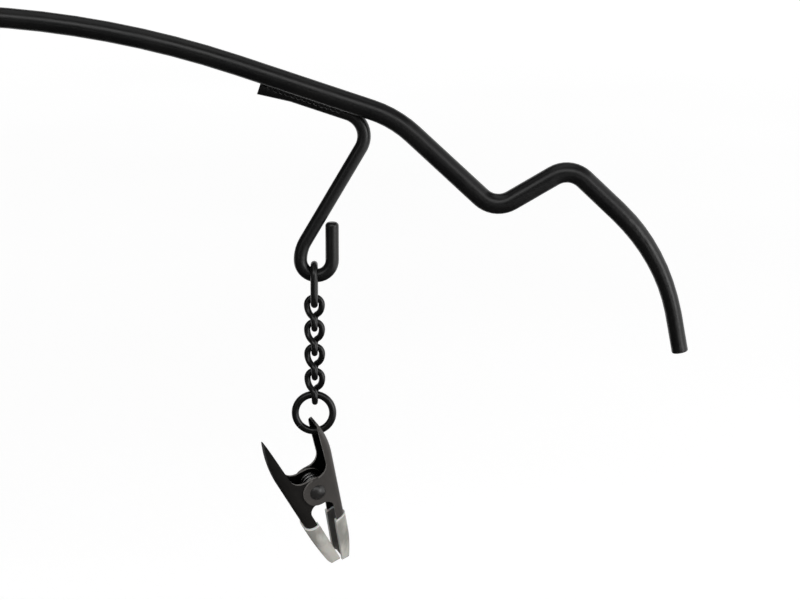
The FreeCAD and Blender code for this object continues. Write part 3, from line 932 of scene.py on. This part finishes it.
    def bead_rim(self, shape: bmesh.types.BMesh, stance: Matrix, slope: Place) -> None:
        """Marks the whiter bead along a sleeve's slanting rim.

        Args:
            shape: The sleeve.
            stance: The clip's own axes.
            slope: The way that the rim faces, along those axes.
        """
        facing = (stance.to_3x3() @ Vector(slope)).normalized()
        top = max(facing.dot(vert.co) for vert in shape.verts)
        for share in (self.white_share, 1.0):
            cut_across(shape, facing * (top - self.rim_height * share), facing)
        rim = shape.verts.layers.float.new("rim")
        for vert in shape.verts:
            depth = (top - facing.dot(vert.co)) / self.rim_height
            vert[rim] = min(1.0, max(0.0, (1 - depth) / (1 - self.white_share)))

    def settle(
        self, piece: bpy.types.Object, half: Half, node: str, slot: str, finishes: Finishes
    ) -> None:
        """Puts a piece in its node's place.

        Args:
            piece: The new piece.
            half: The half of the clip that carries it.
            node: The node that it stands for.
            slot: The finish's slot name.
            finishes: The mixed finishes.
        """
        finishes.lay_on(piece, slot)
        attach(piece, self.body(half))
        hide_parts(node)
        LOG.info("%s built, %d faces", piece.name, len(piece.data.polygons))

    def wind_spring(self, stance: Matrix, finishes: Finishes) -> None:
        """Winds the torsion spring: a straight leg, the coil, and the other leg.

        Args:
            stance: The clip's own axes.
            finishes: The mixed finishes.
        """
        sweep = self.full_turns * 2 * pi + pi - self.hanging_lean - self.swinging_lean
        coil = self.coil_pitch * sweep / (2 * pi)
        steps = round(self.turn_steps * sweep / (2 * pi))
        leg = Vector((sin(self.hanging_lean), 0, cos(self.hanging_lean))) * self.leg_length
        start = Vector((cos(self.hanging_lean), 0, -sin(self.hanging_lean))) * self.coil_radius
        start.y = -coil / 2
        shape = bmesh.new()
        turn = Vector((0, 0, 1)).rotation_difference(-leg).to_matrix().to_4x4()
        lie = Matrix.Translation(start + leg) @ turn
        bmesh.ops.create_circle(
            shape, cap_ends=False, radius=self.wire_radius, segments=self.wire_sides, matrix=lie
        )
        self.run_on(shape, list(shape.edges), -leg)
        wound = bmesh.ops.spin(
            shape, geom=self.loose_end(shape, start), cent=(0, 0, 0), axis=(0, 1, 0),
            dvec=(0, coil / steps, 0), angle=sweep, steps=steps, use_duplicate=False,
        )
        last = [item for item in wound["geom_last"] if isinstance(item, bmesh.types.BMEdge)]
        other = Vector((-sin(self.swinging_lean), 0, cos(self.swinging_lean))) * self.leg_length
        self.run_on(shape, last, other)
        bmesh.ops.holes_fill(shape, edges=[edge for edge in shape.edges if edge.is_boundary], sides=0)
        bmesh.ops.transform(shape, matrix=stance, verts=shape.verts)
        bmesh.ops.recalc_face_normals(shape, faces=shape.faces)
        name = self.node("spring")
        piece = finished(shape, f"{name}_wound")
        finishes.lay_on(piece, "spring_steel")
        reach = Vector((0, coil / 2, 0))
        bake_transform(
            piece, self.body(Half.HANGING), self.body(Half.SWINGING),
            start=tuple(stance @ -reach), end=tuple(stance @ reach),
        )
        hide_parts(name)
        LOG.info("%s built, %d faces", piece.name, len(piece.data.polygons))

    def run_on(self, shape: bmesh.types.BMesh, rim: list[bmesh.types.BMEdge], way: Vector) -> None:
        """Runs the wire straight on from one of its open ends.

        Args:
            shape: The wire so far.
            rim: The edges of the open end.
            way: Where the new end lies from the old one.
        """
        grown = bmesh.ops.extrude_edge_only(shape, edges=rim)["geom"]
        verts = [item for item in grown if isinstance(item, bmesh.types.BMVert)]
        bmesh.ops.translate(shape, verts=verts, vec=way)

    def loose_end(self, shape: bmesh.types.BMesh, middle: Vector) -> list[bmesh.types.BMEdge]:
        """Finds the edges of the wire's open end round a point.

        Args:
            shape: The wire so far.
            middle: The end's middle.

        Returns:
            The end's edges.
        """
        near = self.wire_radius * 1.5
        return [
            edge for edge in shape.edges
            if edge.is_boundary and all((vert.co - middle).length < near for vert in edge.verts)
        ]


@dataclass(frozen=True)
class SoftBox:
    """One soft box lamp.

    Attributes:
        name: The lamp's name.
        place: Where it hangs.
        width: Its width in metres.
        height: Its height in metres.
        glow: The brightness of its face, where 1 is white.
    """

    name: str
    place: Place
    width: float
    height: float
    glow: float


@dataclass(frozen=True)
class DarkCard:
    """One dark card that only reflections show, so that the rods keep their dark side.

    Attributes:
        name: The card's name.
        place: Its middle.
        facing: The way it faces.
        width: Its width in metres.
        height: Its height in metres.
    """

    name: str
    place: Place
    facing: Place
    width: float
    height: float


def grey(value: float) -> Colour:
    """Gives a plain grey, where 1 is white."""
    return (value, value, value, 1.0)


def background_rays(tree: bpy.types.NodeTree) -> bpy.types.NodeSocket:
    """Tells rays that show the background from rays that carry light.

    Args:
        tree: The nodes to add to.

    Returns:
        One for rays that show the background, and none for the others.
    """
    rays = tree.nodes.new("ShaderNodeLightPath").outputs
    total = rays[BACKGROUND_RAYS[0]]
    for name in BACKGROUND_RAYS[1:]:
        node = tree.nodes.new("ShaderNodeMath")
        node.operation = "MAXIMUM"
        tree.links.new(total, node.inputs[0])
        tree.links.new(rays[name], node.inputs[1])
        total = node.outputs[0]
    return total


@dataclass
class Studio:
    """A pale floor, soft lamps, dark cards round the hanger, and the camera.

    Attributes:
        aim: The point the camera looks at.
        distance: The camera's distance from it in metres.
        elevation: The camera's height above it as an angle.
        lens: The camera's focal length in millimetres.
        film_width: The width of the camera's picture behind the lens in millimetres.
        floor_gap: How far below the hanger the floor lies in metres.
        floor_radius: The floor's radius in metres.
        floor_sides: The floor's sides.
        floor_pale: The floor's darkest and palest grey.
        floor_patch: The size of the floor's patches in metres.
        glow_reach: The distances between which the floor's white grows in metres.
        glow_span: How much white is added at those distances.
        card_dark: A card's darkest and palest grey.
        card_patch: The size of a card's patches in metres.
        room_light: The strength of the room's own light.
        lamps: The lamps.
        cards: The cards that stand clear of the floor.
    """

    aim: Place = (0.13781, 0.0, -0.15556)
    distance: float = 0.9
    elevation: float = radians(12)
    lens: float = 137.0
    film_width: float = 36.0
    floor_gap: float = 0.06
    floor_radius: float = 9.0
    floor_sides: int = 96
    floor_pale: tuple[float, float] = (0.86, 0.88)
    floor_patch: float = 0.4
    glow_reach: tuple[float, float] = (0.34, 2.1)
    glow_span: tuple[float, float] = (0.24, 0.4)
    card_dark: tuple[float, float] = (0.02, 0.03)
    card_patch: float = 0.3
    room_light: float = 0.7
    lamps: tuple[SoftBox, ...] = (
        SoftBox("lamp_front", (0.15, -0.95, 0.62), width=1.4, height=0.42, glow=1.3),
        SoftBox("lamp_above", (0.1, 0.05, 1.1), width=1.4, height=0.9, glow=0.55),
        SoftBox("lamp_right", (1.1, -0.72, 0.0), width=0.5, height=0.55, glow=3.0),
        SoftBox("lamp_left", (-0.75, -0.95, 0.0), width=0.12, height=0.9, glow=0.8),
    )
    cards: tuple[DarkCard, ...] = (
        DarkCard("card_front", (0.1, -1.5, -0.1), (0, 1, 0), width=2.4, height=1.0),
        DarkCard("card_left", (-0.95, 0.1, 0.3), (1, 0, 0), width=2.6, height=1.3),
        DarkCard("card_ceiling", (0.1, 0.2, 1.5), (0, 0, -1), width=4.0, height=4.0),
    )

    def build(self) -> None:
        """Sets everything up round the hanger."""
        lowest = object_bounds()[0][2]
        self.lay_floor(lowest - self.floor_gap)
        for box in self.lamps:
            self.hang_lamp(box)
        below = (-0.26, -0.4, lowest - self.floor_gap / 2)
        self.stand_card(DarkCard("card_below", below, (0, 0, 1), width=1.08, height=1.1))
        for plan in self.cards:
            self.stand_card(plan)
        self.light_world()
        self.stand_camera()
        bpy.context.scene.view_settings.view_transform = "Standard"

    def lay_floor(self, height: float) -> None:
        """Lays the round floor, seen as white by the camera and in reflections.

        Args:
            height: The floor's height in metres.
        """
        shape = bmesh.new()
        bmesh.ops.create_circle(
            shape, cap_ends=True, radius=self.floor_radius, segments=self.floor_sides,
            matrix=Matrix.Translation((0, 0, height)),
        )
        floor = finished(shape, "floor")
        board = ShaderBoard("floor_white")
        paint = self.patchy(board, self.floor_patch, self.floor_pale)
        away = board.add("ShaderNodeVectorMath", {0: board.place})
        away.operation = "LENGTH"
        near, far = self.glow_reach
        least, most = self.glow_span
        inputs = {
            "Value": away.outputs["Value"],
            "From Min": near, "From Max": far, "To Min": least, "To Max": most,
        }
        share = board.add("ShaderNodeMapRange", inputs).outputs["Result"]
        strength = board.times(background_rays(board.tree), share)
        glow = board.add("ShaderNodeEmission", {"Color": grey(1.0), "Strength": strength})
        both = board.add("ShaderNodeAddShader")
        board.tree.links.new(paint, both.inputs[0])
        board.tree.links.new(glow.outputs[0], both.inputs[1])
        board.tree.links.new(both.outputs[0], board.output.inputs["Surface"])
        floor.data.materials.append(board.material)
        floor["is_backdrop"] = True

    def patchy(
        self, board: ShaderBoard, patch: float, greys: tuple[float, float]
    ) -> bpy.types.NodeSocket:
        """Adds a matt surface with faint patches.

        Args:
            board: The nodes to add to.
            patch: The size of a patch in metres.
            greys: The darkest and the palest grey.

        Returns:
            The surface.
        """
        stops = [(stop, grey(value)) for stop, value in zip(PATCH_STOPS, greys)]
        shade = board.ramp(board.noise(patch), stops)
        return board.add("ShaderNodeBsdfDiffuse", {"Color": shade}).outputs[0]

    def hang_lamp(self, box: SoftBox) -> None:
        """Hangs one soft box, turned to the hanger.

        Args:
            box: The soft box.
        """
        light = bpy.data.lights.new(box.name, "AREA")
        light.shape = "RECTANGLE"
        light.size = box.width
        light.size_y = box.height
        light.energy = box.glow * pi * box.width * box.height
        lamp = bpy.data.objects.new(box.name, light)
        lamp.location = box.place
        lamp.rotation_euler = (Vector(self.aim) - Vector(box.place)).to_track_quat("-Z", "Y").to_euler()
        lamp.visible_camera = False
        bpy.context.scene.collection.objects.link(lamp)

    def stand_card(self, plan: DarkCard) -> None:
        """Stands one dark card.

        Args:
            plan: The card's size and place.
        """
        turn = Vector(plan.facing).to_track_quat("Z", "Y").to_matrix().to_4x4()
        size = Matrix.Diagonal((plan.width / 2, plan.height / 2, 1, 1))
        shape = bmesh.new()
        bmesh.ops.create_grid(
            shape, x_segments=4, y_segments=4, size=1, matrix=Matrix.Translation(plan.place) @ turn @ size
        )
        card = finished(shape, plan.name)
        board = ShaderBoard(plan.name)
        paint = self.patchy(board, self.card_patch, self.card_dark)
        board.tree.links.new(paint, board.output.inputs["Surface"])
        card.data.materials.append(board.material)
        card.visible_camera = False
        card.visible_diffuse = False
        card.visible_shadow = False
        card.visible_transmission = False
        card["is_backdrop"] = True

    def light_world(self) -> None:
        """Fills the room with plain white light, white to the camera and in reflections."""
        world = bpy.data.worlds.new("room")
        world.use_nodes = True
        bpy.context.scene.world = world
        tree = world.node_tree
        soft = tree.nodes["Background"]
        soft.inputs["Color"].default_value = grey(1.0)
        soft.inputs["Strength"].default_value = self.room_light
        bright = tree.nodes.new("ShaderNodeBackground")
        bright.inputs["Color"].default_value = grey(1.0)
        mixed = tree.nodes.new("ShaderNodeMixShader")
        tree.links.new(background_rays(tree), mixed.inputs[0])
        tree.links.new(soft.outputs[0], mixed.inputs[1])
        tree.links.new(bright.outputs[0], mixed.inputs[2])
        tree.links.new(mixed.outputs[0], tree.nodes["World Output"].inputs["Surface"])

    def stand_camera(self) -> None:
        """Stands the camera in front, a little above the aim."""
        lens = bpy.data.cameras.new("camera")
        lens.lens = self.lens
        lens.sensor_width = self.film_width
        camera = bpy.data.objects.new("camera", lens)
        away = Vector((0, -cos(self.elevation), sin(self.elevation))) * self.distance
        camera.location = Vector(self.aim) + away
        camera.rotation_euler = (-away).to_track_quat("-Z", "Y").to_euler()
        bpy.context.scene.collection.objects.link(camera)
        bpy.context.scene.camera = camera


def main() -> None:
    """Builds the hanger's classes in order, then the studio."""
    logging.basicConfig(level=logging.INFO, format="%(name)s: %(message)s")
    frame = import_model()
    finishes = Finishes.mixed()
    HangerRod().dress(frame, finishes)
    for side in Side:
        HangingChain(side).dress(frame, finishes)
        SprungClip(side).build(frame, finishes)
    Studio().build()


if __name__ == "__main__":
    main()
